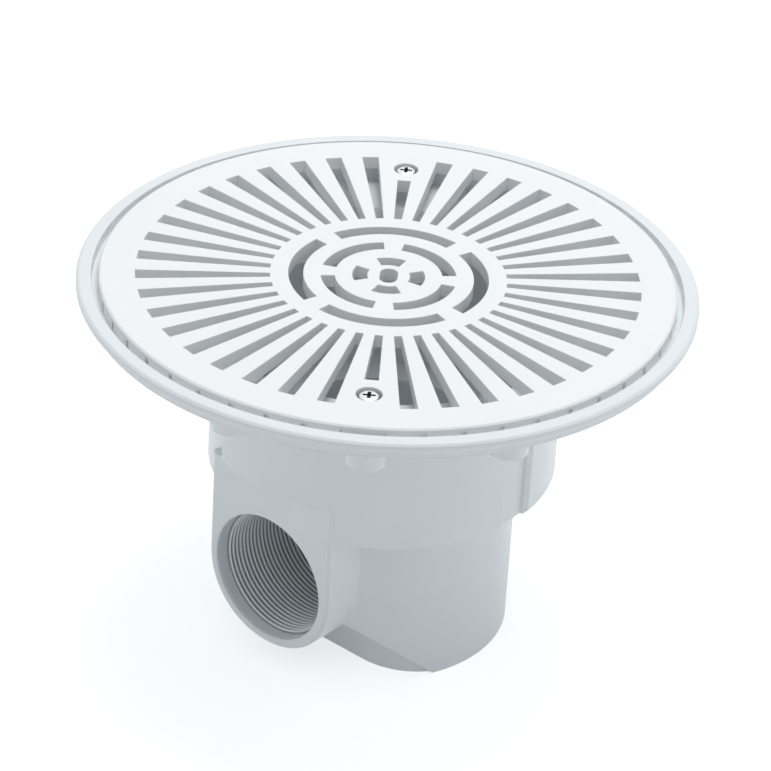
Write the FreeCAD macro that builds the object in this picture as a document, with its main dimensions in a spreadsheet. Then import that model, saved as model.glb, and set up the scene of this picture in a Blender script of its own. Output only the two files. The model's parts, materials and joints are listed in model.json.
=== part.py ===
"""Pool main drain with a round slotted grille and a threaded side outlet.

Millimetres, +Z up. The origin is at the middle of the flat bottom of the sump, on the main axis.
The outlet points along -Y. The grille is turned so that its two screws lie off the outlet's axis.
"""
import FreeCAD, Part
import math
import os
import re

import Sketcher

SIZES = {
    # Whole drain
    "overall_height": 170.0,
    "wall": 4.0,
    # Flange and the recess that the grille lies in
    "flange_radius": 135.0,
    "flange_rim_height": 4.5,
    "flange_edge": 1.2,
    "flange_foot_width": 3.0,
    "seat_width": 16.4,
    "floor_step": 7.0,
    # Grille
    "grille_radius": 125.2,
    "grille_gap": 3.2,
    "grille_thickness": 6.0,
    "grille_proud": 1.5,
    "grille_edge": 0.8,
    "grille_turn": 36.0,
    "centre_hole_radius": 3.9,
    "centre_hole_reach": 2.3,
    "slot_count": 40.0,
    "slot_inner_radius": 51.4,
    "slot_outer_radius": 109.5,
    "slot_inner_width": 3.4,
    "slot_outer_width": 7.5,
    "short_slot_end": 88.0,
    "outer_ring_radius": 37.0,
    "outer_ring_width": 6.5,
    "outer_ring_angle": 77.0,
    "middle_ring_radius": 23.4,
    "middle_ring_width": 6.1,
    "middle_ring_angle": 72.0,
    "inner_ring_radius": 9.3,
    "inner_ring_width": 6.5,
    "inner_ring_angle": 49.0,
    "ring_slots": 4.0,
    "rim_notch_count": 48.0,
    "rim_notch_width": 2.4,
    "rim_notch_depth": 1.6,
    "rim_notch_top": 2.3,
    "pry_notch_width": 19.0,
    # Pot, its flare up to the floor and the two raised pads on its side
    "mouth_radius": 85.5,
    "flare_bottom": 136.0,
    "pot_radius": 75.8,
    "pot_bottom": 79.0,
    "pad_radius": 79.0,
    "pad_edge": 1.8,
    "pad_angle": 105.6,
    "pad_gap": 10.8,
    "pad_gap_turn": 90.0,
    # Sump and its foot
    "sump_radius": 62.2,
    "foot_flat": 37.4,
    "foot_corner": 33.0,
    "ramp_start": 23.75,
    "ramp_angle": 42.7,
    # Outlet
    "outlet_height": 46.8,
    "outlet_face": 72.0,
    "outlet_radius": 34.8,
    "outlet_edge": 1.8,
    "outlet_length": 37.0,
    "thread_radius": 29.8,
    "lead_in_radius": 30.1,
    "lead_in_depth": 1.5,
    "outlet_recess_top": 96.5,
    # Grille screws, the bosses under the floor and the pillars that rise from two of them
    "screw_count": 2.0,
    "screw_circle": 99.3,
    "screw_radius": 2.5,
    "screw_length": 20.0,
    "screw_fit": 0.1,
    "screw_clearance": 0.4,
    "head_radius": 5.0,
    "head_height": 2.4,
    "head_edge": 0.9,
    "head_sink": 0.3,
    "head_clearance": 0.6,
    "cross_width": 1.5,
    "cross_span": 5.4,
    "cross_depth": 1.6,
    "boss_count": 10.0,
    "boss_radius": 8.5,
    "boss_bottom": 137.0,
    "pillar_radius": 6.5,
    "pilot_spare": 2.0,
}

# Levels and radii that follow from the driving sizes
DERIVED = {
    "grille_bottom": "overall_height - grille_thickness",
    "flange_top": "overall_height - grille_proud",
    "recess_radius": "grille_radius + grille_gap",
    "seat_radius": "recess_radius - seat_width",
    "floor_level": "grille_bottom - floor_step",
    "floor_underside": "floor_level - wall",
    "pot_floor": "pot_bottom + wall",
    "foot_corner_side": "sqrt((sump_radius - foot_corner)^2 - (foot_flat - foot_corner)^2)",
    "foot_corner_angle": "atan2(foot_corner_side; foot_flat - foot_corner)",
    "outlet_inner_end": "outlet_face - outlet_length",
    "ramp_reach": "sump_radius - ramp_start",
    "screw_tip": "overall_height - head_sink - head_height - screw_length",
    "slot_pitch": "360 / slot_count",
    "cut_spare": "2 * wall",
}

X_AXIS = FreeCAD.Vector(1, 0, 0)
Z_AXIS = FreeCAD.Vector(0, 0, 1)
TINY = 0.001

doc = FreeCAD.newDocument("PoolMainDrain")
sheet = doc.addObject("Spreadsheet::Sheet", "Sizes")


def fill_sheet():
    """Write the driving sizes, then the sizes worked out from them, one row each."""
    row = 0
    for name, value in SIZES.items():
        row += 1
        sheet.set("A%d" % row, name)
        sheet.set("B%d" % row, str(value))
        sheet.setAlias("B%d" % row, name)
    doc.recompute()
    for name, formula in DERIVED.items():
        row += 1
        sheet.set("A%d" % row, name)
        sheet.set("B%d" % row, "=" + formula)
        sheet.setAlias("B%d" % row, name)
        doc.recompute()


def words(text):
    """Turn a formula of size names into one that reads the sheet."""
    def from_sheet(match):
        name = match.group()
        return "Sizes." + name if name in SIZES or name in DERIVED else name

    return re.sub(r"[a-z][a-z_]+", from_sheet, text)


def number(text):
    """The present value of a formula of size names."""
    value = sheet.evalExpression(words(text))
    return float(getattr(value, "Value", value))


def bind(item, name, text):
    item.setExpression(name, words(text))


def origin_plane(body, role):
    return next(plane for plane in body.Origin.OriginFeatures if plane.Role == role)


def new_sketch(body, name, plane, level):
    """An empty sketch at a level over one of a body's origin planes."""
    sketch = body.newObject("Sketcher::SketchObject", name)
    sketch.AttachmentSupport = (origin_plane(body, plane), [""])
    sketch.MapMode = "FlatFace"
    bind(sketch, "AttachmentOffset.Base.z", level)
    return sketch


def constrain(sketch, *terms):
    return sketch.addConstraint(Sketcher.Constraint(*terms))


def drive(sketch, kind, terms, text):
    """A constraint of a sketch whose size is bound to a formula of size names."""
    row = constrain(sketch, kind, *terms, number(text))
    bind(sketch, "Constraints[%d]" % row, text)


def outline(body, name, plane, corners, level="0"):
    """A closed sketch of straight lines whose corners are bound to formulas of size names."""
    sketch = new_sketch(body, name, plane, level)
    points = [FreeCAD.Vector(number(across), number(up), 0) for across, up in corners]
    count = len(points)
    for index in range(count):
        sketch.addGeometry(Part.LineSegment(points[index], points[(index + 1) % count]))
    for index in range(count):
        constrain(sketch, "Coincident", index, 2, (index + 1) % count, 1)
    for index, (across, up) in enumerate(corners):
        drive(sketch, "DistanceX", (-1, 1, index, 1), across)
        drive(sketch, "DistanceY", (-1, 1, index, 1), up)
    return sketch


def new_body(name):
    return doc.addObject("PartDesign::Body", name)


def turned(body, name, corners, kind="PartDesign::Revolution", angle="360"):
    """A profile in the XZ plane turned about the main axis, added or cut."""
    sketch = outline(body, name + "_profile", "XZ_Plane", corners)
    feature = body.newObject(kind, name)
    feature.Profile = sketch
    feature.ReferenceAxis = (sketch, ["V_Axis"])
    feature.Midplane = True
    bind(feature, "Angle", angle)
    return feature


def through(body, name, sketch):
    """A cut right through the body, to both sides of a sketch."""
    feature = body.newObject("PartDesign::Pocket", name)
    feature.Profile = sketch
    feature.Type = 1
    feature.Midplane = True
    return feature


def pocket_through(body, name, plane, corners):
    return through(body, name, outline(body, name + "_outline", plane, corners))


def around(body, name, feature, count, angle="360"):
    """Copies of a feature about the main axis."""
    pattern = body.newObject("PartDesign::PolarPattern", name)
    pattern.Originals = [feature]
    pattern.Axis = (origin_axis(body), [""])
    bind(pattern, "Angle", angle)
    bind(pattern, "Occurrences", count)
    body.Tip = pattern


def origin_axis(body):
    return next(axis for axis in body.Origin.OriginFeatures if axis.Role == "Z_Axis")


def cylinder(name, radius, height, base):
    """An upright cylinder on the main axis."""
    item = doc.addObject("Part::Cylinder", name)
    bind(item, "Radius", radius)
    bind(item, "Height", height)
    bind(item, "Placement.Base.z", base)
    return item


def lying_cone(name, radius, inner_radius, length):
    """A cylinder or cone on the outlet's axis, from the outlet's face inwards."""
    item = doc.addObject("Part::Cone", name)
    bind(item, "Radius1", radius)
    bind(item, "Radius2", inner_radius)
    bind(item, "Height", length)
    item.Placement.Rotation = FreeCAD.Rotation(X_AXIS, -90)
    bind(item, "Placement.Base.y", "0 - outlet_face")
    bind(item, "Placement.Base.z", "outlet_height")
    return item


def block(name, size, corner):
    """A box from the formulas of its three sizes and its lowest corner."""
    item = doc.addObject("Part::Box", name)
    for side, text in zip(("Length", "Width", "Height"), size):
        bind(item, side, text)
    for axis, text in zip("xyz", corner):
        bind(item, "Placement.Base." + axis, text)
    return item


def fused(name, pieces):
    item = doc.addObject("Part::MultiFuse", name)
    item.Shapes = pieces
    item.Refine = True
    return item


def cut(name, base, tool):
    item = doc.addObject("Part::Cut", name)
    item.Base = base
    item.Tool = tool
    item.Refine = True
    return item


def ease(body, feature, size, is_chosen):
    """Bevel the edges of a feature that pass a test of their middle point."""
    doc.recompute()
    chosen = []
    for index, edge in enumerate(feature.Shape.Edges):
        middle = edge.valueAt((edge.FirstParameter + edge.LastParameter) / 2)
        if is_chosen(middle):
            chosen.append("Edge%d" % (index + 1))
    item = body.newObject("PartDesign::Chamfer", feature.Name + "_eased")
    item.Base = (feature, chosen)
    bind(item, "Size", size)


def arc(middle, radius, start, end):
    circle = Part.Circle(middle, Z_AXIS, radius)
    return Part.ArcOfCircle(circle, math.radians(start), math.radians(end))


def padded(body, name, plane, level, length):
    """An empty sketch at a level over an origin plane, and the pad that it will drive."""
    sketch = new_sketch(body, name + "_outline", plane, level)
    feature = body.newObject("PartDesign::Pad", name)
    feature.Profile = sketch
    bind(feature, "Length", length)
    return sketch, feature


def foot(name, inset, bottom, height):
    """The D-shaped foot: round behind, flat towards the outlet, with large round corners between."""
    body = new_body(name)
    sketch = padded(body, name + "_pad", "XY_Plane", bottom, height)[0]
    side, turn = number("foot_corner_side"), number("foot_corner_angle")
    radius = number("sump_radius" + inset)
    corner = number("foot_corner" + inset)
    flat = number("foot_flat" + inset)
    right = FreeCAD.Vector(side, corner - flat, 0)
    left = FreeCAD.Vector(-side, corner - flat, 0)
    sketch.addGeometry(arc(FreeCAD.Vector(), radius, turn - 90, 270 - turn))
    sketch.addGeometry(arc(left, corner, 270 - turn, 270))
    sketch.addGeometry(Part.LineSegment(FreeCAD.Vector(-side, -flat, 0), FreeCAD.Vector(side, -flat, 0)))
    sketch.addGeometry(arc(right, corner, -90, turn - 90))
    for index in range(4):
        constrain(sketch, "Tangent", index, 2, (index + 1) % 4, 1)
    constrain(sketch, "Coincident", 0, 3, -1, 1)
    constrain(sketch, "Equal", 1, 3)
    drive(sketch, "Radius", (0,), "sump_radius" + inset)
    drive(sketch, "Radius", (1,), "foot_corner" + inset)
    drive(sketch, "DistanceY", (-1, 1, 2, 1), "0 - ( foot_flat" + inset + " )")
    return body


def housing(name, top, front, length):
    """The outlet's upright U: half round below the outlet's axis, straight sides up to a level."""
    body = new_body(name)
    sketch, pad = padded(body, name + "_pad", "XZ_Plane", front, length)
    pad.Reversed = True
    radius, middle, level = number("outlet_radius"), number("outlet_height"), number(top)
    places = ((radius, middle), (radius, level), (-radius, level), (-radius, middle))
    corners = [FreeCAD.Vector(across, up, 0) for across, up in places]
    sketch.addGeometry(arc(FreeCAD.Vector(0, middle, 0), radius, 180, 360))
    for index in range(3):
        sketch.addGeometry(Part.LineSegment(corners[index], corners[index + 1]))
    constrain(sketch, "Tangent", 0, 2, 1, 1)
    constrain(sketch, "Coincident", 1, 2, 2, 1)
    constrain(sketch, "Coincident", 2, 2, 3, 1)
    constrain(sketch, "Tangent", 3, 2, 0, 1)
    constrain(sketch, "Vertical", 1)
    constrain(sketch, "Horizontal", 2)
    constrain(sketch, "PointOnObject", 0, 3, -2)
    drive(sketch, "DistanceY", (-1, 1, 0, 3), "outlet_height")
    drive(sketch, "Radius", (0,), "outlet_radius")
    drive(sketch, "DistanceY", (-1, 1, 1, 2), top)
    return body, pad


def ramp_cut(body, rise):
    """Trim the round sump along the ramp that falls from under the outlet to the foot."""
    low = "0 - cut_spare"
    top = "( ramp_reach + cut_spare ) * tan(1 deg * ramp_angle) + " + rise
    far = "0 - ( sump_radius + cut_spare )"
    start = "0 - ramp_start"
    corners = [(start, low), (far, low), (far, top), (start, rise)]
    pocket_through(body, body.Name + "_ramp", "YZ_Plane", corners)


def bevelled(radius, level, edge, side):
    """The two corners of a bevelled outer edge of a turned profile; side is + above a level, - below it."""
    corners = [(radius + " - " + edge, level), (radius, level + " " + side + " " + edge)]
    return corners if side == "+" else corners[::-1]


def make_outer_form():
    """The outside of the moulding, as a solid: flange, floor, flare, pot and sump."""
    body = new_body("outer_form")
    seat_outer = "recess_radius + flange_foot_width"
    turned(body, "outer_turning", [
        ("0", "0"),
        ("sump_radius", "0"),
        ("sump_radius", "pot_bottom"),
        ("pot_radius", "pot_bottom"),
        ("pot_radius", "flare_bottom"),
        ("mouth_radius + wall", "floor_underside"),
        ("seat_radius + wall", "floor_underside"),
        ("seat_radius + wall", "grille_bottom - wall"),
        (seat_outer, "grille_bottom - wall"),
        (seat_outer, "flange_top - flange_rim_height"),
        *bevelled("flange_radius", "flange_top - flange_rim_height", "flange_edge", "+"),
        *bevelled("flange_radius", "flange_top", "flange_edge", "-"),
        ("0", "flange_top"),
    ])
    ramp_cut(body, "0")
    return body


def make_core():
    """The inside of the moulding, as a solid, one wall smaller than the outside."""
    body = new_body("core")
    turned(body, "core_turning", [
        ("0", "wall"),
        ("sump_radius - wall", "wall"),
        ("sump_radius - wall", "pot_floor"),
        ("pot_radius - wall", "pot_floor"),
        ("pot_radius - wall", "flare_bottom + wall"),
        ("mouth_radius", "floor_level"),
        ("seat_radius", "floor_level"),
        ("seat_radius", "grille_bottom"),
        ("recess_radius", "grille_bottom"),
        ("recess_radius", "overall_height"),
        ("0", "overall_height"),
    ])
    ramp_cut(body, "wall / cos(1 deg * ramp_angle)")
    return body


def pads(name, inset, bottom, top, angle, is_eased):
    """The two raised pads on the pot, one to each side of the gap between them."""
    pieces = []
    for side, sign in (("front", "-"), ("back", "+")):
        body = new_body(name + "_" + side)
        pad = turned(body, name + "_" + side + "_turning", [
            ("pot_radius - 2 * wall", bottom),
            ("pad_radius" + inset, bottom),
            ("pad_radius" + inset, top),
            ("pot_radius - 2 * wall", top),
        ], angle=angle)
        if is_eased:
            ease(body, pad, "pad_edge", is_outer_pad_edge)
        turn = "pad_gap_turn - 90 " + sign + " ( pad_angle + pad_gap ) / 2"
        bind(body, "Placement.Rotation.Angle", turn)
        pieces.append(body)
    return pieces


def is_outer_pad_edge(point):
    """On the outer face of a pad, but not where it runs into the floor."""
    is_outer = math.hypot(point.x, point.y) > number("pad_radius") - TINY
    return is_outer and point.z < number("floor_underside") - TINY


def on_screw_circle(name, count, radius, height, base):
    """Upright cylinders on the screws' circle, evenly spaced from the first grille screw."""
    pieces = []
    for index in range(int(number(count))):
        item = cylinder("%s_%d" % (name, index), radius, height, base)
        turn = "grille_turn + %d * 360 / %s" % (index, count)
        bind(item, "Placement.Base.x", "screw_circle * sin(1 deg * ( " + turn + " ))")
        bind(item, "Placement.Base.y", "0 - screw_circle * cos(1 deg * ( " + turn + " ))")
        pieces.append(item)
    return pieces


def make_skin():
    """The outside with its foot, pads and bosses, cut flat in front of the outlet."""
    boss_height = "floor_level - wall / 2 - boss_bottom"
    bosses = on_screw_circle("boss", "boss_count", "boss_radius", boss_height, "boss_bottom")
    raised = pads("pad", "", "pot_bottom", "floor_underside", "pad_angle", True)
    sole = foot("foot", "", "0", "pot_bottom - wall")
    rounded = fused("outside", [make_outer_form(), sole] + raised + bosses)
    recess = block("outlet_recess",
                   ("2 * outlet_radius", "pad_radius + cut_spare - outlet_face", "outlet_recess_top"),
                   ("0 - outlet_radius", "0 - ( pad_radius + cut_spare )", "0"))
    front, front_pad = housing("outlet_housing", "outlet_recess_top", "outlet_face", "outlet_length")
    ease(front, front_pad, "outlet_edge", is_housing_front_edge)
    return fused("skin", [cut("skin_over_outlet", rounded, recess), front])


def is_housing_front_edge(point):
    """On the outlet's face, along its sides and round its bottom."""
    return point.y < TINY - number("outlet_face") and point.z < number("outlet_recess_top") - TINY


def make_hollow():
    """The whole inside: core, pads and foot, kept one wall behind the flat in front of the outlet."""
    hollow_angle = "1 deg * pad_angle - 2 * asin(wall / pad_radius)"
    pad_cores = pads("pad_core", " - wall", "pot_floor", "floor_level", hollow_angle, False)
    hollow = fused("inside", [make_core()] + pad_cores)
    behind_recess = block("behind_recess",
                          ("2 * pad_radius", "pad_radius + wall - outlet_face", "outlet_recess_top + wall"),
                          ("0 - pad_radius", "0 - pad_radius", "0"))
    trimmed = cut("inside_behind_recess", hollow, behind_recess)
    return fused("hollow", [trimmed, foot("core_foot", " - wall", "wall", "pot_floor - wall")])


def make_drain_body():
    """One moulding: the skin less its hollow, with the threaded outlet let into its side."""
    shell = cut("shell", make_skin(), make_hollow())
    socket_front = "outlet_face - 2 * outlet_edge"
    socket = housing("socket", "pot_floor", socket_front, "outlet_length - 2 * outlet_edge")[0]
    pillar_height = "grille_bottom - floor_underside"
    pillars = on_screw_circle("pillar", "screw_count", "pillar_radius", pillar_height, "floor_underside")
    pilot_base = "screw_tip - pilot_spare"
    pilot_height = "grille_bottom - ( " + pilot_base + " )"
    pilots = on_screw_circle("pilot", "screw_count", "screw_radius + screw_fit", pilot_height, pilot_base)
    bore = lying_cone("thread_bore", "thread_radius", "thread_radius", "outlet_length")
    lead_in = lying_cone("lead_in", "lead_in_radius", "thread_radius", "lead_in_depth")
    solid = fused("moulding", [shell, socket] + pillars)
    return cut("drain_body", solid, fused("holes", [bore, lead_in] + pilots))


def slot_corners(end, end_width):
    """The wedge outline of one slot along -Y, from the inner end to the given end."""
    inner_side = "slot_inner_width / 2"
    end_side = "( " + end_width + " ) / 2"
    return [
        ("0 - " + inner_side, "0 - slot_inner_radius"),
        (inner_side, "0 - slot_inner_radius"),
        (end_side, "0 - ( " + end + " )"),
        ("0 - " + end_side, "0 - ( " + end + " )"),
    ]


def spin(feature, turn):
    """Turn a feature's sketch about the main axis, in its own plane."""
    sketch = feature.Profile[0]
    bind(sketch, "AttachmentOffset.Rotation.Angle", turn)


def rim_notch(body, name, width):
    """An upright notch in the grille's edge, open below and stopping under its top face."""
    outer = "0 - ( grille_radius + cut_spare )"
    inner = "0 - ( grille_radius - rim_notch_depth )"
    half = width + " / 2"
    corners = [("0 - " + half, outer), (half, outer), (half, inner), ("0 - " + half, inner)]
    sketch = outline(body, name + "_outline", "XY_Plane", corners)
    feature = body.newObject("PartDesign::Pocket", name)
    feature.Profile = sketch
    feature.Reversed = True
    bind(feature, "Length", "grille_thickness - rim_notch_top")
    return feature


def ring_slots(body, name, turn):
    """Curved slots on one circle, cut by turning their section part of the way round."""
    corners = [
        (name + "_radius", "0 - cut_spare"),
        (name + "_radius + " + name + "_width", "0 - cut_spare"),
        (name + "_radius + " + name + "_width", "grille_thickness + cut_spare"),
        (name + "_radius", "grille_thickness + cut_spare"),
    ]
    feature = turned(body, name, corners, "PartDesign::Groove", name + "_angle")
    upright = FreeCAD.Rotation(FreeCAD.Vector(0, 1, 0), number(turn))
    feature.Profile[0].AttachmentOffset = FreeCAD.Placement(FreeCAD.Vector(), upright)
    around(body, name + "_pattern", feature, "ring_slots")


def round_hole(body, name, radius, reach, bottom):
    """A round hole at each grille screw, cut upwards from a level of the plate."""
    sketch = new_sketch(body, name + "_outline", "XY_Plane", bottom)
    middle = FreeCAD.Vector(0, -number(reach), 0)
    sketch.addGeometry(Part.Circle(middle, Z_AXIS, number(radius)))
    constrain(sketch, "PointOnObject", 0, 3, -2)
    drive(sketch, "DistanceY", (-1, 1, 0, 3), "0 - " + reach)
    drive(sketch, "Radius", (0,), radius)
    feature = body.newObject("PartDesign::Pocket", name)
    feature.Profile = sketch
    feature.Reversed = True
    bind(feature, "Length", "grille_thickness + cut_spare")
    around(body, name + "_pattern", feature, "screw_count")


def centre_hole(body):
    """The long round-ended hole in the middle of the plate, along the line of the two screws."""
    sketch = new_sketch(body, "centre_hole_outline", "XY_Plane", "0")
    radius, reach = number("centre_hole_radius"), number("centre_hole_reach")
    places = ((-radius, reach), (-radius, -reach), (radius, -reach), (radius, reach))
    corners = [FreeCAD.Vector(across, along, 0) for across, along in places]
    sketch.addGeometry(arc(FreeCAD.Vector(0, reach, 0), radius, 0, 180))
    sketch.addGeometry(Part.LineSegment(corners[0], corners[1]))
    sketch.addGeometry(arc(FreeCAD.Vector(0, -reach, 0), radius, 180, 360))
    sketch.addGeometry(Part.LineSegment(corners[2], corners[3]))
    for index in range(4):
        constrain(sketch, "Tangent", index, 2, (index + 1) % 4, 1)
    constrain(sketch, "Equal", 0, 2)
    constrain(sketch, "PointOnObject", 0, 3, -2)
    constrain(sketch, "PointOnObject", 2, 3, -2)
    drive(sketch, "Radius", (0,), "centre_hole_radius")
    drive(sketch, "DistanceY", (-1, 1, 0, 3), "centre_hole_reach")
    drive(sketch, "DistanceY", (2, 3, -1, 1), "centre_hole_reach")
    through(body, "centre_hole", sketch)


def make_grille():
    """One moulded plate: radial wedge slots, three rings of curved slots and a notched edge."""
    body = new_body("grille")
    turned(body, "plate", [
        ("0", "0"),
        ("grille_radius", "0"),
        *bevelled("grille_radius", "grille_thickness", "grille_edge", "-"),
        ("0", "grille_thickness"),
    ])
    centre_hole(body)
    long_slot = slot_corners("slot_outer_radius", "slot_outer_width")
    for side, start in (("right", "slot_pitch"), ("left", "180 + slot_pitch")):
        slot = pocket_through(body, side + "_slot", "XY_Plane", long_slot)
        spin(slot, start)
        around(body, side + "_slots", slot, "slot_count / 2 - 1", "180 - 2 * slot_pitch")
    short_share = "( short_slot_end - slot_inner_radius ) / ( slot_outer_radius - slot_inner_radius )"
    short_width = "slot_inner_width + ( slot_outer_width - slot_inner_width ) * " + short_share
    short = pocket_through(body, "short_slot", "XY_Plane", slot_corners("short_slot_end", short_width))
    around(body, "short_slots", short, "screw_count")
    ring_slots(body, "outer_ring", "0")
    ring_slots(body, "middle_ring", "180 / ring_slots")
    ring_slots(body, "inner_ring", "0")
    round_hole(body, "screw_hole", "screw_radius + screw_clearance", "screw_circle", "0 - wall")
    head_bottom = "grille_thickness - head_sink - head_height"
    round_hole(body, "head_recess", "head_radius + head_clearance", "screw_circle", head_bottom)
    notch = rim_notch(body, "rim_notch", "rim_notch_width")
    spin(notch, "180 / rim_notch_count")
    around(body, "rim_notches", notch, "rim_notch_count")
    rim_notch(body, "pry_notch", "pry_notch_width")
    bind(body, "Placement.Rotation.Angle", "grille_turn")
    bind(body, "Placement.Base.z", "grille_bottom")
    return body


def make_screw(name, turn):
    """A round-headed screw with a cross recess, its head sunk in the plate."""
    body = new_body(name)
    point = "screw_radius / 2"
    turned(body, name + "_turning", [
        ("0", "0 - screw_length"),
        (point, "0 - screw_length"),
        ("screw_radius", "screw_radius - screw_length"),
        ("screw_radius", "0"),
        ("head_radius", "0"),
        ("head_radius", "head_height - 2 * head_edge"),
        ("head_radius - head_edge", "head_height - head_edge / 2"),
        ("head_radius - 2 * head_edge", "head_height"),
        ("0", "head_height"),
    ])
    long, short = "cross_span / 2", "cross_width / 2"
    quarter = [(short, long), (short, short), (long, short)]
    corners = []
    for across, up in ((1, 1), (1, -1), (-1, -1), (-1, 1)):
        ordered = quarter if across == up else quarter[::-1]
        for side, end in ordered:
            corners.append((("" if across > 0 else "0 - ") + side, ("" if up > 0 else "0 - ") + end))
    sketch = outline(body, name + "_cross", "XY_Plane", corners, "head_height - cross_depth")
    recess = body.newObject("PartDesign::Pocket", name + "_recess")
    recess.Profile = sketch
    recess.Reversed = True
    bind(recess, "Length", "cross_depth + head_height")
    bind(body, "Placement.Rotation.Angle", "grille_turn")
    bind(body, "Placement.Base.x", "screw_circle * sin(1 deg * ( " + turn + " ))")
    bind(body, "Placement.Base.y", "0 - screw_circle * cos(1 deg * ( " + turn + " ))")
    bind(body, "Placement.Base.z", "overall_height - head_sink - head_height")
    return body


def make_grille_screws():
    """The grille screws, evenly spaced, as one group of separate solids."""
    group = doc.addObject("Part::Compound", "grille_screws")
    count = int(number("screw_count"))
    turns = ["grille_turn + %d * 360 / screw_count" % index for index in range(count)]
    group.Links = [make_screw("screw_%d" % index, turn) for index, turn in enumerate(turns)]
    return group


def check_document():
    """Stop if any object failed to build."""
    for item in doc.Objects:
        if "Invalid" in item.State or "Error" in item.State:
            raise RuntimeError("%s failed to build" % item.Name)


def write_part(item):
    """Write one sub-part under its label, once its shape is known to be sound."""
    shape = item.Shape
    if shape.isNull() or not shape.isValid():
        raise RuntimeError("%s has no sound shape" % item.Label)
    shape.exportStep("parts/%s.step" % item.Label)
    print("%s: %d solid(s), %.1f cm3" % (item.Label, len(shape.Solids), shape.Volume / 1000.0))


fill_sheet()
sub_parts = [make_drain_body(), make_grille(), make_grille_screws()]
doc.recompute()
check_document()
os.makedirs("parts", exist_ok=True)
for sub_part in sub_parts:
    write_part(sub_part)
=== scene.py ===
# %% [markdown]
# # Pool main drain
# A white moulded drain that is set into a pool floor: a flange and grille on top, a pot and a sump below,
# and a threaded outlet in the side. The CAD model already has every solid piece, so this lesson dresses it:
# it gives each piece a finish, adds the thread in the outlet and sets up the studio.

# %% Load the frame
import json
import math

import bpy
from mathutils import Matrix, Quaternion, Vector


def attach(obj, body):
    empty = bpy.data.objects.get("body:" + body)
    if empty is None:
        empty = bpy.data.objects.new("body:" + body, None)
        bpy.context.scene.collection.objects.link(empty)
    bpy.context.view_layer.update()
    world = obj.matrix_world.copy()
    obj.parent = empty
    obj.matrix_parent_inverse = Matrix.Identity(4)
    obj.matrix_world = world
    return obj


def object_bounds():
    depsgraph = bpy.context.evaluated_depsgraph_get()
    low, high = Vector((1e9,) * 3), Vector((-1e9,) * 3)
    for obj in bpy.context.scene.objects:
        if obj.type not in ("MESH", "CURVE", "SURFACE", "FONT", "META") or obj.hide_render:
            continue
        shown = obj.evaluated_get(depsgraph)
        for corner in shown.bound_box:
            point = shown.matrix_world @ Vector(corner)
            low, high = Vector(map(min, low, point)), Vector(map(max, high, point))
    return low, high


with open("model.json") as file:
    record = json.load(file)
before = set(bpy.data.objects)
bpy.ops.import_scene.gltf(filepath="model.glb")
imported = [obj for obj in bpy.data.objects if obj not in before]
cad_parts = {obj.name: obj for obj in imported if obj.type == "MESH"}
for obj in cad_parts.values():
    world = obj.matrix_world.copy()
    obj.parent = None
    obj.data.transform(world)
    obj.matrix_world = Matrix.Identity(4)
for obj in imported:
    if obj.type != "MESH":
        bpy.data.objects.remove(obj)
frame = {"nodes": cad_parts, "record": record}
cad_box = [list(corner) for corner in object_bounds()]
MM = 0.001
nodes = frame["nodes"]
record = frame["record"]
print("CAD nodes:", sorted(nodes), "box:", cad_box)

# %% [markdown]
# ## Small helpers
# An operator acts on all that is selected, and the CAD nodes are selected after loading. So each new piece
# starts from an empty selection, and it ends with its place baked into its mesh, as the CAD nodes have.


# %% Helpers for modelling by operators
def select_only(piece):
    """Leave one object selected and active."""
    bpy.ops.object.select_all(action="DESELECT")
    piece.select_set(True)
    bpy.context.view_layer.objects.active = piece


def apply_place(piece):
    """Bake an object's place and size into its mesh."""
    select_only(piece)
    bpy.ops.object.transform_apply(location=True, rotation=True, scale=True)


def apply_modifiers(piece):
    """Apply every modifier of a piece, in order."""
    select_only(piece)
    for name in [modifier.name for modifier in piece.modifiers]:
        bpy.ops.object.modifier_apply(modifier=name)


def report(piece):
    print(piece.name, "has", len(piece.data.polygons), "faces")


# %% [markdown]
# ## Patterns that the finishes share
# No surface of a real drain is one flat colour. A picture could bring the change, but a noise made by nodes
# has no seams and no resolution. It reads the object's own coordinates, so it stays with the piece. Most of
# a noise lies between 0.3 and 0.7, so that part of it is stretched over the tones or the polish wanted.


# %% Nodes and materials
def add_node(tree, kind, **settings):
    node = tree.nodes.new(kind)
    for name, value in settings.items():
        setattr(node, name, value)
    return node


def new_material(name):
    material = bpy.data.materials.new(name)
    material.use_nodes = True
    return material, material.node_tree, material.node_tree.nodes["Principled BSDF"]


# %% Noise, and a value drawn from it
NOISE_LOW, NOISE_HIGH = 0.3, 0.7
NOISE_DETAIL = 3.0


def noise(tree, scale):
    """Noise on the object's own coordinates, which stay with the piece."""
    place = add_node(tree, "ShaderNodeTexCoord")
    pattern = add_node(tree, "ShaderNodeTexNoise")
    pattern.inputs["Scale"].default_value = scale
    pattern.inputs["Detail"].default_value = NOISE_DETAIL
    tree.links.new(place.outputs["Object"], pattern.inputs["Vector"])
    return pattern.outputs["Fac"]


def spread(tree, factor, low, high):
    """Stretch the middle of a factor's range to a value from low to high."""
    change = add_node(tree, "ShaderNodeMapRange")
    change.inputs["From Min"].default_value = NOISE_LOW
    change.inputs["From Max"].default_value = NOISE_HIGH
    change.inputs["To Min"].default_value = low
    change.inputs["To Max"].default_value = high
    tree.links.new(factor, change.inputs["Value"])
    return change.outputs["Result"]


# %% Tones
# The colour sockets of a Mix node come after those for numbers and vectors.
MIX_BASE, MIX_OTHER, MIX_RESULT = 6, 7, 2


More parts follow.
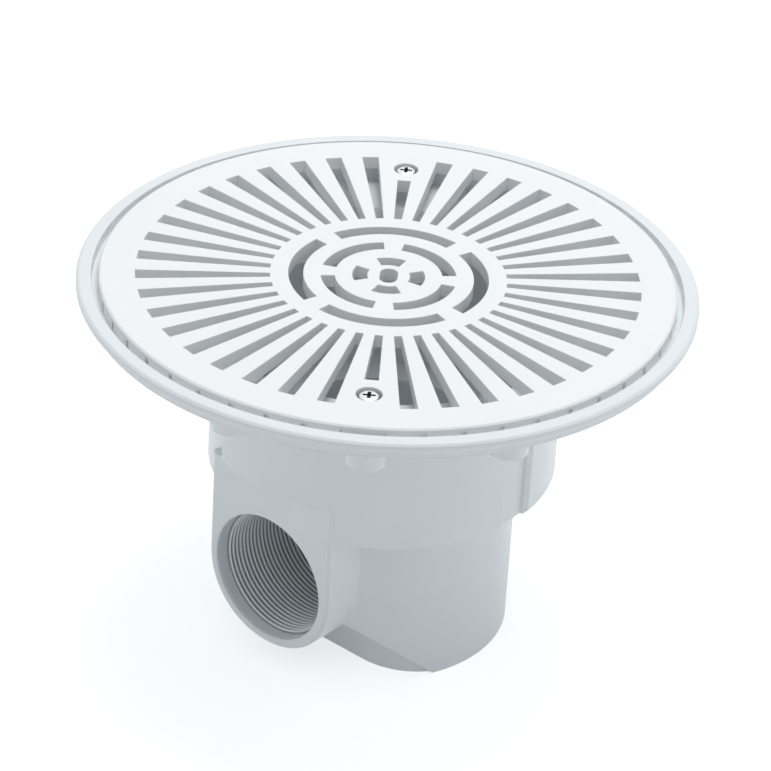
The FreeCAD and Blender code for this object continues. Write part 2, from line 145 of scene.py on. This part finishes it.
def two_tones(tree, factor, dark, light):
    """Stretch the middle of a factor's range to a colour between two tones."""
    ramp = add_node(tree, "ShaderNodeValToRGB")
    ends = ramp.color_ramp.elements
    ends[0].position, ends[1].position = NOISE_LOW, NOISE_HIGH
    ends[0].color, ends[1].color = (*dark, 1.0), (*light, 1.0)
    tree.links.new(factor, ramp.inputs["Fac"])
    return ramp.outputs["Color"]


def mixed(tree, factor, base, other):
    """A colour that goes over to another one by a factor."""
    mix = add_node(tree, "ShaderNodeMix", data_type="RGBA")
    tree.links.new(factor, mix.inputs["Factor"])
    tree.links.new(base, mix.inputs[MIX_BASE])
    mix.inputs[MIX_OTHER].default_value = (*other, 1.0)
    return mix.outputs[MIX_RESULT]


# %% [markdown]
# ## Soft edges and a fine skin
# A moulding has a small radius on every edge, and a fine grain from the mould. Rounding each edge of the
# mesh would change the CAD pieces, so a bevel node turns the normals near an edge instead. Where that
# rounded normal leaves the true one, the surface is near an edge, which gives a mask for a painted highlight
# along the edges.

# %% Soft edges
EDGE_SAMPLES = 8
EDGE_STARTS, EDGE_FULL = 0.995, 0.93


def rounded(tree, radius):
    """The normal of the surface as if its edges were rounded."""
    edge = add_node(tree, "ShaderNodeBevel", samples=EDGE_SAMPLES)
    edge.inputs["Radius"].default_value = radius
    return edge.outputs["Normal"]


def near_edges(tree, normal):
    """One along the edges, where the rounded normal leaves the true one, and nought elsewhere."""
    true_normal = add_node(tree, "ShaderNodeNewGeometry").outputs["True Normal"]
    agree = add_node(tree, "ShaderNodeVectorMath", operation="DOT_PRODUCT")
    tree.links.new(normal, agree.inputs[0])
    tree.links.new(true_normal, agree.inputs[1])
    change = add_node(tree, "ShaderNodeMapRange")
    change.inputs["From Min"].default_value = EDGE_STARTS
    change.inputs["From Max"].default_value = EDGE_FULL
    tree.links.new(agree.outputs["Value"], change.inputs["Value"])
    return change.outputs["Result"]


# %% Levels and skin
SKIN_STRENGTH = 0.25


def below(tree, level, fade):
    """Nought above a level of the object and one below it, with a fade between."""
    place = add_node(tree, "ShaderNodeTexCoord")
    parts = add_node(tree, "ShaderNodeSeparateXYZ")
    change = add_node(tree, "ShaderNodeMapRange")
    change.inputs["From Min"].default_value = level
    change.inputs["From Max"].default_value = level - fade
    tree.links.new(place.outputs["Object"], parts.inputs["Vector"])
    tree.links.new(parts.outputs["Z"], change.inputs["Value"])
    return change.outputs["Result"]


def fine_skin(tree, normal, grain, depth):
    """A fine grain on top of a normal."""
    skin = add_node(tree, "ShaderNodeBump")
    skin.inputs["Strength"].default_value = SKIN_STRENGTH
    skin.inputs["Distance"].default_value = depth
    tree.links.new(noise(tree, grain), skin.inputs["Height"])
    tree.links.new(normal, skin.inputs["Normal"])
    return skin.outputs["Normal"]


# %% [markdown]
# ## White moulded plastic
# The body and the grille are injection moulded in a white, slightly cool plastic. The colour drifts a
# little with the flow in the mould, and the polish changes from place to place. A flat colour would look
# like paper, so one noise drives the colour and another the polish. In the picture the body's edges below
# the flange are thin bright lines. Rounded normals alone leave them faint, so a highlight is painted on
# those edges: their colour is lighter.

# %% Plastic for the mouldings
PLASTIC_IOR = 1.52
COLOUR_DRIFT = 22.0
POLISH_DRIFT = 60.0
MOULD_GRAIN, MOULD_GRAIN_DEPTH = 900.0, 0.05 * MM
# Painted highlight: the lighter colour of the edges, and the level below which it is painted.
PAINTED_EDGE_HIGHLIGHT = (0.98, 0.985, 0.985)
HIGHLIGHT_LEVEL, HIGHLIGHT_FADE = 150.0 * MM, 2.0 * MM


def moulded_plastic(name, dark, light, polish, edge_radius):
    """White plastic whose colour and polish drift a little over the moulding, with a painted highlight on
    edges below a level.
    """
    material, tree, shader = new_material(name)
    shader.inputs["IOR"].default_value = PLASTIC_IOR
    normal = rounded(tree, edge_radius)
    tone = two_tones(tree, noise(tree, COLOUR_DRIFT), dark, light)
    # Painted highlight: near the edges and below a level, the colour turns lighter.
    painted_highlight = add_node(tree, "ShaderNodeMath", operation="MULTIPLY")
    tree.links.new(near_edges(tree, normal), painted_highlight.inputs[0])
    tree.links.new(below(tree, HIGHLIGHT_LEVEL, HIGHLIGHT_FADE), painted_highlight.inputs[1])
    tree.links.new(mixed(tree, painted_highlight.outputs["Value"], tone, PAINTED_EDGE_HIGHLIGHT), shader.inputs["Base Color"])
    tree.links.new(spread(tree, noise(tree, POLISH_DRIFT), *polish), shader.inputs["Roughness"])
    tree.links.new(fine_skin(tree, normal, MOULD_GRAIN, MOULD_GRAIN_DEPTH), shader.inputs["Normal"])
    return material


body_plastic = moulded_plastic(
    "body_plastic", dark=(0.82, 0.857, 0.88), light=(0.85, 0.88, 0.895),
    polish=(0.30, 0.40), edge_radius=1.1 * MM)
grille_plastic = moulded_plastic(
    "grille_plastic", dark=(0.92, 0.93, 0.94), light=(0.94, 0.945, 0.95),
    polish=(0.32, 0.42), edge_radius=0.4 * MM)
print("plastics:", body_plastic.name, grille_plastic.name)

# %% [markdown]
# ## Stainless steel for the screws
# The two screws that hold the grille are taken to be stainless steel. Fine tool marks on the heads could be
# modelled as rings, but they are too small to see one by one, so a fine noise stands in for them. It changes
# the polish over less than a millimetre and the colour only a little. The cross and the foot of the head lie
# deeper, in shade, and look dark. Steel that mirrors a white studio stays light there, so that shade is
# painted: its tone falls off with the depth below the top of the grille.

# %% Steel for the screws
STEEL_TONES = ((0.70, 0.71, 0.72), (0.84, 0.85, 0.86))
# Painted shade for the cross and the foot of the head.
STEEL_SHADE = (0.05, 0.05, 0.055)
STEEL_POLISH = (0.22, 0.38)
STEEL_EDGE = 0.2 * MM
TONE_MARKS, POLISH_MARKS = 700.0, 2500.0
TURNED_GRAIN, TURNED_GRAIN_DEPTH = 3000.0, 0.01 * MM
SHADE_DEPTH, SHADE_FADE = 0.7 * MM, 0.8 * MM
grille_top = cad_box[1][2]


def turned_steel(name):
    """Stainless steel with a fine turned finish, and painted shade in the cross and at the foot of the head.
    """
    material, tree, shader = new_material(name)
    shader.inputs["Metallic"].default_value = 1.0
    normal = rounded(tree, STEEL_EDGE)
    tone = two_tones(tree, noise(tree, TONE_MARKS), *STEEL_TONES)
    # Painted shade: the colour darkens below the top of the grille, in the cross and at the foot of the
    # head.
    painted_shade = below(tree, grille_top - SHADE_DEPTH, SHADE_FADE)
    tree.links.new(mixed(tree, painted_shade, tone, STEEL_SHADE), shader.inputs["Base Color"])
    tree.links.new(spread(tree, noise(tree, POLISH_MARKS), *STEEL_POLISH), shader.inputs["Roughness"])
    tree.links.new(fine_skin(tree, normal, TURNED_GRAIN, TURNED_GRAIN_DEPTH), shader.inputs["Normal"])
    return material


screw_steel = turned_steel("screw_steel")
print("steel:", screw_steel.name)

# %% [markdown]
# ## Finishes on the CAD pieces
# The body, the grille and the two screws come from CAD with their shapes. They could be modelled again here,
# but then two models would have to agree, so they stay as they are and only change their material.


# %% Give the CAD nodes their finishes
def finish_node(name, material):
    materials = nodes[name].data.materials
    materials.clear()
    materials.append(material)
    print(name, "is finished in", material.name)


finish_node("drain_body", body_plastic)
finish_node("grille", grille_plastic)
finish_node("grille_screws", screw_steel)

# %% [markdown]
# ## The thread in the outlet
# The outlet is taken to fit a two inch pipe, with an inside thread of eleven ridges to the inch. The
# CAD bore is plain, at the root of the thread. The ridge could be drawn as rings, but a real thread is one
# long helix: one triangular section is swept round the bore by a screw modifier, which climbs one pitch
# with each turn. The mouth stays plain for a few millimetres, so that a pipe finds its way in. The thread
# reaches past the end of the CAD bore, because in the picture it runs across the whole mouth. The ridges
# are a little wider than the pitch, so they touch, and past the bore they close into a thin sleeve.

# %% Sizes of the thread
thread = next(mount for mount in record["mounts"] if mount["name"] == "outlet_thread")
bore_radius = thread["dims"]["r_mm"] * MM
bore_length = thread["dims"]["length_mm"] * MM
bore_middle = Vector(thread["pos_m"])
THREAD_PITCH = 25.4 * MM / 11
RIDGE_WIDTH = 1.02 * THREAD_PITCH
RIDGE_HEIGHT = 0.64 * THREAD_PITCH
RIDGE_CREST = 0.18 * MM
RIDGE_SINK = 0.1 * MM
THREAD_REACH = 56.0 * MM
PLAIN_MOUTH = 5.0 * MM
STEPS_PER_TURN = 96
SMOOTH_ANGLE = math.radians(35.0)
turns = int(THREAD_REACH / THREAD_PITCH)
first_ridge = bore_middle.y - bore_length / 2 + PLAIN_MOUTH
print("thread:", turns, "turns of", THREAD_PITCH / MM, "mm")

# %% [markdown]
# ## The finish of the thread, with painted shade in its roots
# The thread is cut in the same white plastic, but little light reaches its roots, so it looks like dark and
# light stripes. Light that bounces between white ridges evens such stripes out, so that shade is painted in:
# the tone follows the distance from the bore's axis, dark at the root and light at the crest. The outside of
# the sleeve lies at the root's distance too, so faces that look away from the axis keep the light tone,
# without the painted shade.

# %% Where a point lies in the thread
CREST_SHARE = 0.9
ACROSS_BORE = (1.0, 0.0, 1.0)


def from_bore_axis(tree, place):
    """The way from the bore's axis to a point, square to the axis."""
    offset = add_node(tree, "ShaderNodeVectorMath", operation="SUBTRACT")
    offset.inputs[1].default_value = bore_middle
    across = add_node(tree, "ShaderNodeVectorMath", operation="MULTIPLY")
    across.inputs[1].default_value = ACROSS_BORE
    tree.links.new(place.outputs["Object"], offset.inputs[0])
    tree.links.new(offset.outputs["Vector"], across.inputs[0])
    return across.outputs["Vector"]


def root_to_crest(tree, away):
    """Nought at the root of the thread and one near its crest."""
    radius = add_node(tree, "ShaderNodeVectorMath", operation="LENGTH")
    change = add_node(tree, "ShaderNodeMapRange")
    change.inputs["From Min"].default_value = bore_radius
    change.inputs["From Max"].default_value = bore_radius - CREST_SHARE * RIDGE_HEIGHT
    tree.links.new(away, radius.inputs[0])
    tree.links.new(radius.outputs["Value"], change.inputs["Value"])
    return change.outputs["Result"]


def facing_out(tree, place, away):
    """One on faces that look away from the bore's axis, and nought on those that look at it."""
    direction = add_node(tree, "ShaderNodeVectorMath", operation="NORMALIZE")
    outward = add_node(tree, "ShaderNodeVectorMath", operation="DOT_PRODUCT")
    tree.links.new(away, direction.inputs[0])
    tree.links.new(direction.outputs["Vector"], outward.inputs[0])
    tree.links.new(place.outputs["Normal"], outward.inputs[1])
    return spread(tree, outward.outputs["Value"], 0.0, 1.0)


# %% Plastic for the thread
# Painted shade for the roots of the thread; the crest tone is the plastic's own light colour.
THREAD_ROOT_SHADE = (0.20, 0.235, 0.255)
THREAD_CREST_TONE = (0.86, 0.90, 0.92)
THREAD_POLISH = (0.28, 0.38)


def thread_plastic(name):
    """Plastic with painted shade in the roots of the thread, where light hardly reaches, and its own light
    tone on the crests.
    """
    material, tree, shader = new_material(name)
    shader.inputs["IOR"].default_value = PLASTIC_IOR
    place = add_node(tree, "ShaderNodeTexCoord")
    away = from_bore_axis(tree, place)
    # Painted shade: the colour darkens towards the root of the thread, except on faces that look away from
    # the axis.
    tone = two_tones(tree, root_to_crest(tree, away), THREAD_ROOT_SHADE, THREAD_CREST_TONE)
    lit = mixed(tree, facing_out(tree, place, away), tone, THREAD_CREST_TONE)
    tree.links.new(lit, shader.inputs["Base Color"])
    tree.links.new(spread(tree, noise(tree, POLISH_DRIFT), *THREAD_POLISH), shader.inputs["Roughness"])
    return material


thread_finish = thread_plastic("thread_plastic")
print("thread finish:", thread_finish.name)

# %% [markdown]
# ## One section of the ridge
# A pipe thread's ridge is a triangle with a rounded crest. It starts as a circle of three corners with one
# of them at the axis side, is sized to the ridge and moved to the bore's wall, a touch into it. Only then is
# the crest's corner rounded, because a bevel made before the sizing would be stretched with it.

# %% Draw the section
bpy.ops.object.select_all(action="DESELECT")
bpy.ops.mesh.primitive_circle_add(vertices=3, radius=1.0, rotation=(0.0, 0.0, math.radians(90.0)))
outlet_thread = bpy.context.object
outlet_thread.name = "outlet_thread"
apply_place(outlet_thread)
height, width, _ = outlet_thread.dimensions
ridge_size = (RIDGE_HEIGHT / height, RIDGE_WIDTH / width, 1.0)
# A triangle's centre lies a third of its height above its base.
ridge_place = (bore_radius + RIDGE_SINK - RIDGE_HEIGHT / 3, first_ridge, 0.0)
bpy.ops.object.mode_set(mode="EDIT")
bpy.ops.mesh.select_all(action="SELECT")
bpy.ops.transform.resize(value=ridge_size, center_override=(0.0, 0.0, 0.0))
bpy.ops.transform.translate(value=ridge_place)
bpy.ops.mesh.select_all(action="DESELECT")
bpy.ops.object.mode_set(mode="OBJECT")
print("ridge section:", RIDGE_WIDTH / MM, "by", RIDGE_HEIGHT / MM, "mm")

# %% Round its crest
crest = min(outlet_thread.data.vertices, key=lambda corner: corner.co.x)
crest.select = True
bpy.ops.object.mode_set(mode="EDIT")
bpy.ops.mesh.bevel(offset=RIDGE_CREST, segments=2, affect="VERTICES")
bpy.ops.object.mode_set(mode="OBJECT")
print("section has", len(outlet_thread.data.vertices), "corners")

# %% [markdown]
# ## The swept thread
# The screw tool of edit mode takes its pitch from an open line drawn beside the section. A screw modifier
# takes it as a number and makes all the turns at once, right-handed, as pipe threads are. The two open ends
# are then filled, and the faces are turned to point outwards.

# %% Sweep the section along the bore
outlet_thread.location.z = bore_middle.z
sweep = outlet_thread.modifiers.new("sweep", "SCREW")
sweep.axis = "Y"
sweep.angle = math.tau
sweep.screw_offset = THREAD_PITCH
sweep.iterations = turns
sweep.steps = STEPS_PER_TURN
sweep.render_steps = STEPS_PER_TURN
apply_modifiers(outlet_thread)
report(outlet_thread)

# %% Close the thread and finish it
bpy.ops.object.mode_set(mode="EDIT")
bpy.ops.mesh.select_all(action="SELECT")
bpy.ops.mesh.fill_holes(sides=0)
bpy.ops.mesh.select_all(action="SELECT")
bpy.ops.mesh.normals_make_consistent(inside=False)
bpy.ops.object.mode_set(mode="OBJECT")
bpy.ops.object.shade_smooth_by_angle(angle=SMOOTH_ANGLE)
apply_place(outlet_thread)
outlet_thread.data.materials.append(thread_finish)
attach(outlet_thread, "root")
report(outlet_thread)

# %% [markdown]
# ## The floor and the white background
# The drain stands on pale paper that runs out of sight. More light would turn the paper white, but it would
# burn out the drain as well. So the paper and the world turn white only for the rays that show them: to the
# camera, in a gloss or through something clear. The diffuse light on the drain stays as it is, and the
# paper's glow is added to its own tone, which keeps the soft shadow.


# %% Which rays see the white background
def background_ray(tree):
    """One for the rays that show the background: to the camera, in a gloss or through something clear."""
    rays = add_node(tree, "ShaderNodeLightPath")
    glossy = add_node(tree, "ShaderNodeMath", operation="MAXIMUM")
    seen = add_node(tree, "ShaderNodeMath", operation="MAXIMUM")
    tree.links.new(rays.outputs["Is Camera Ray"], glossy.inputs[0])
    tree.links.new(rays.outputs["Is Glossy Ray"], glossy.inputs[1])
    tree.links.new(glossy.outputs["Value"], seen.inputs[0])
    tree.links.new(rays.outputs["Is Transmission Ray"], seen.inputs[1])
    return seen.outputs["Value"]


# %% Floor
WHITE = (1.0, 1.0, 1.0, 1.0)
FLOOR_SIDE = 8.0
FLOOR_COLOUR = (0.88, 0.89, 0.90, 1.0)
FLOOR_ROUGHNESS = 0.9
FLOOR_GLOW = 0.55
bpy.ops.object.select_all(action="DESELECT")
bpy.ops.mesh.primitive_plane_add(size=FLOOR_SIDE, location=(0.0, 0.0, 0.0))
floor = bpy.context.object
floor.name = "floor"
floor_paper, tree, shader = new_material("floor_paper")
shader.inputs["Base Color"].default_value = FLOOR_COLOUR
shader.inputs["Roughness"].default_value = FLOOR_ROUGHNESS
shader.inputs["Emission Color"].default_value = WHITE
glow = add_node(tree, "ShaderNodeMath", operation="MULTIPLY")
glow.inputs[1].default_value = FLOOR_GLOW
tree.links.new(background_ray(tree), glow.inputs[0])
tree.links.new(glow.outputs["Value"], shader.inputs["Emission Strength"])
floor.data.materials.append(floor_paper)
print("floor:", FLOOR_SIDE, "m")

# %% [markdown]
# ## Lights
# The picture has flat, even light: a bright top, grey sides and hardly a shadow. One strong lamp would give
# hard shades, so the main light is a wide soft box above, three weak ones fill in from the front, right and
# left, and a cool world light fills the rest.

# %% Soft boxes: name, power in watts, side in metres and place
LIGHT_AIM = Vector((0.0, 0.0, 0.1))
SOFT_BOXES = (
    ("top_light", 16.8, 1.0, (-0.1, 0.4, 1.8)),
    ("front_light", 2.2, 1.2, (0.75, -0.95, 1.8)),
    ("right_light", 1.6, 0.8, (1.3, 0.6, 0.4)),
    ("left_light", 1.5, 1.0, (-0.9, -1.2, 0.5)),
)


def soft_box(name, power, side, place):
    """A square soft light that looks at the drain."""
    lamp = bpy.data.lights.new(name, "AREA")
    lamp.energy = power
    lamp.size = side
    holder = bpy.data.objects.new(name, lamp)
    holder.location = place
    holder.rotation_euler = (LIGHT_AIM - Vector(place)).to_track_quat("-Z", "Y").to_euler()
    bpy.context.scene.collection.objects.link(holder)


for box in SOFT_BOXES:
    soft_box(*box)
print("lights:", [item.name for item in bpy.data.lights])

# %% World: a cool fill that shows as white
FILL_LIGHT = (0.355, 0.382, 0.397, 1.0)
world = bpy.data.worlds.new("studio")
bpy.context.scene.world = world
world.use_nodes = True
sky = world.node_tree.nodes["Background"]
sky.inputs["Strength"].default_value = 1.0
backdrop = add_node(world.node_tree, "ShaderNodeMix", data_type="RGBA")
backdrop.inputs[MIX_BASE].default_value = FILL_LIGHT
backdrop.inputs[MIX_OTHER].default_value = WHITE
world.node_tree.links.new(background_ray(world.node_tree), backdrop.inputs["Factor"])
world.node_tree.links.new(backdrop.outputs[MIX_RESULT], sky.inputs["Color"])
print("world:", world.name)

# %% [markdown]
# ## Camera
# The picture was taken from the front right, well above the drain. A camera set by eye comes near, but its
# numbers here were fitted to the outlines of the flange, the grille and the outlet, with a slight roll.

# %% Camera at the photograph's angle
CAMERA_PLACE = Vector((0.8636, -1.0692, 0.9485))
CAMERA_AIM = Vector((0.0012, 0.0009, 0.1144))
CAMERA_ROLL = math.radians(3.45)
CAMERA_LENS = 170.4
SENSOR_WIDTH = 36.0
VIEW_AXIS = (0.0, 0.0, 1.0)
camera_data = bpy.data.cameras.new("camera")
camera_data.lens = CAMERA_LENS
camera_data.sensor_width = SENSOR_WIDTH
camera = bpy.data.objects.new("camera", camera_data)
camera.location = CAMERA_PLACE
camera.rotation_mode = "QUATERNION"
look = (CAMERA_AIM - CAMERA_PLACE).to_track_quat("-Z", "Y")
camera.rotation_quaternion = look @ Quaternion(VIEW_AXIS, CAMERA_ROLL)
bpy.context.scene.collection.objects.link(camera)
bpy.context.scene.camera = camera
bpy.context.scene.view_settings.view_transform = "Standard"
print("camera:", CAMERA_LENS, "mm lens")
